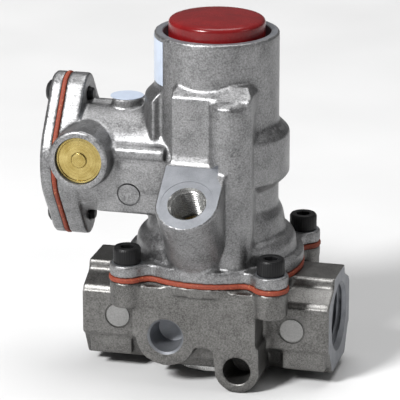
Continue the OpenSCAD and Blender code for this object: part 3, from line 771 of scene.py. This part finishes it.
plug = rounded([(0, 0), (7.2, 0, 0.2), (7.2, 4.0), (5.9, 4.0), (5.9, 5.6), (7.2, 5.6),
                (7.2, 9.15, 0.12), (6.55, 9.2), (6.5, 8.9), (6.3, 8.95), (2.5, 8.95), (2.4, 9.05),
                (2.25, 9.38, 0.2), (1.3, 9.42), (0, 9.25)], 4)
plug = make("brass_pivot_plug", *lathe(plug, 128), facing_front(PIVOT, -13.2), (PLUG_BRASS,))
stand_in(shade(plug, 30), "lever_plug")


def socket():
    """The threaded thermocouple socket, flush in the side cover."""
    base, recess = -44.4, 0.05
    length = base - COVER_FACE - recess
    profile = rounded([(0, 0), (6.3, 0, 0.15), (6.3, 1.0), (6.85, 1.0), (6.85, 1.8), (5.95, 1.8),
                       (5.95, length, 0.35), (0, length)], 4)
    matrix = place(base, 0, MAGNET_Z, axis=LEFT)
    obj = make("thermocouple_socket_brass", *lathe(profile, 128), matrix, (SOCKET_BRASS,))
    subtract(obj, thread_solid(*NUT_THREAD, depth=4.6, out=2, bevel=0.3),
             matrix @ Matrix.Translation((0, 0, length)), (SOCKET_BRASS,))
    subtract(obj, cylinder_solid(2.4, -1, 4), matrix, (SOCKET_BRASS,))
    stand_in(shade(obj, 30), "thermocouple_socket")


socket()


# ---- CAD nodes that keep their shape ---------------------------------------

KEPT = {
    "seat_ring": PLAIN_BRASS, "bottom_plug": PLUG_ALUMINIUM, "bottom_plug_oring": RUBBER,
    "button_retaining_ring": DARK_STEEL, "button_stem": PLAIN_BRASS, "stem_clip": DARK_STEEL,
    "stem_bush": PLAIN_BRASS, "stem_seal": RUBBER, "interrupter_disc": STEEL,
    "interrupter_seal": RUBBER, "valve_stem": STEEL, "main_disc": STEEL, "main_seal": RUBBER,
    "cross_pin": STEEL, "armature_lever": STEEL, "armature": IRON, "lever_pivot_pin": STEEL,
    "lever_plug_oring": RUBBER,
    "magnet_core": IRON, "magnet_coils": COPPER, "magnet_housing": PLAIN_BRASS,
    "contact_insulator": BAKELITE, "contact_pin": PLAIN_BRASS, "pilot_filter": PLAIN_BRASS,
    "tower_label": LABEL, "arm_label": LABEL,
}
for node, material in KEPT.items():
    mesh = NODES[node].data
    mesh.materials.clear()
    mesh.materials.append(material)
    mesh.polygons.foreach_set("material_index", [0] * len(mesh.polygons))


# ---- stage ----------------------------------------------------------------

def stage():
    """A pale floor, under the lowest point of the object."""
    floor_z = CAD_BOX[0].z
    size, parts = 4.0, 16
    row = parts + 1
    verts = [((i / parts - 0.5) * 2 * size, (j / parts - 0.5) * 2 * size, floor_z)
             for i in range(row) for j in range(row)]
    faces = [(i * row + j, (i + 1) * row + j, (i + 1) * row + j + 1, i * row + j + 1)
             for i in range(parts) for j in range(parts)]
    f = Finish("pale_floor")
    cloud = f.noise(60, 2.0, 0.5)
    material = f.finish(f.ramp(cloud, (0.3, 0.65), (0.7, 0.68)), f.span(cloud, 0.3, 0.7, 0.6, 0.7))
    floor = make("floor", verts, faces, Matrix.Identity(4), (material,))


def area_light(name, where, target, size, power):
    data = bpy.data.lights.new(name, "AREA")
    data.shape, data.size, data.energy = "DISK", size, power
    obj = bpy.data.objects.new(name, data)
    obj.location = where
    obj.rotation_mode = "QUATERNION"
    obj.rotation_quaternion = (Vector(target) - Vector(where)).to_track_quat("-Z", "Y")
    bpy.context.scene.collection.objects.link(obj)


def lights():
    aim = (-0.04, 0, 0.035)
    area_light("key", (-0.86, -1.48, 1.34), aim, size=0.5, power=64)
    area_light("top", (0.05, 0.50, 2.40), aim, size=1.8, power=36)
    area_light("right", (0.80, -0.10, 0.35), aim, size=0.3, power=0.5)
    world = bpy.data.worlds.new("studio")
    bpy.context.scene.world = world
    world.use_nodes = True
    tree = world.node_tree
    back = tree.nodes["Background"]
    coord = tree.nodes.new("ShaderNodeTexCoord")
    split = tree.nodes.new("ShaderNodeSeparateXYZ")
    ramp = tree.nodes.new("ShaderNodeValToRGB")
    tree.links.new(coord.outputs["Generated"], split.inputs[0])
    tree.links.new(split.outputs["Z"], ramp.inputs["Fac"])
    tree.links.new(ramp.outputs["Color"], back.inputs["Color"])
    ramp.color_ramp.elements[0].position = 0.0
    ramp.color_ramp.elements[0].color = (0.30, 0.30, 0.31, 1)
    ramp.color_ramp.elements[1].position = 0.8
    ramp.color_ramp.elements[1].color = (1, 1, 1, 1)
    back.inputs["Strength"].default_value = 0.27


def camera():
    azimuth, elevation, distance = math.radians(14.5), math.radians(18.0), 898.4
    aim = TOWER_FRAME @ Vector((-5.08, -0.95, 34.25))
    back = Vector((math.sin(azimuth) * math.cos(elevation),
                   -math.cos(azimuth) * math.cos(elevation), math.sin(elevation)))
    data = bpy.data.cameras.new("camera")
    data.sensor_width, data.lens = 36.0, 262.6
    data.clip_start, data.clip_end = 0.01, 50
    obj = bpy.data.objects.new("camera", data)
    obj.rotation_mode = "QUATERNION"
    obj.location = aim + back * distance * MM
    obj.rotation_quaternion = (-back).to_track_quat("-Z", "Y")
    bpy.context.scene.collection.objects.link(obj)
    bpy.context.scene.camera = obj


stage()
lights()
camera()
bpy.context.scene.view_settings.view_transform = "Standard"
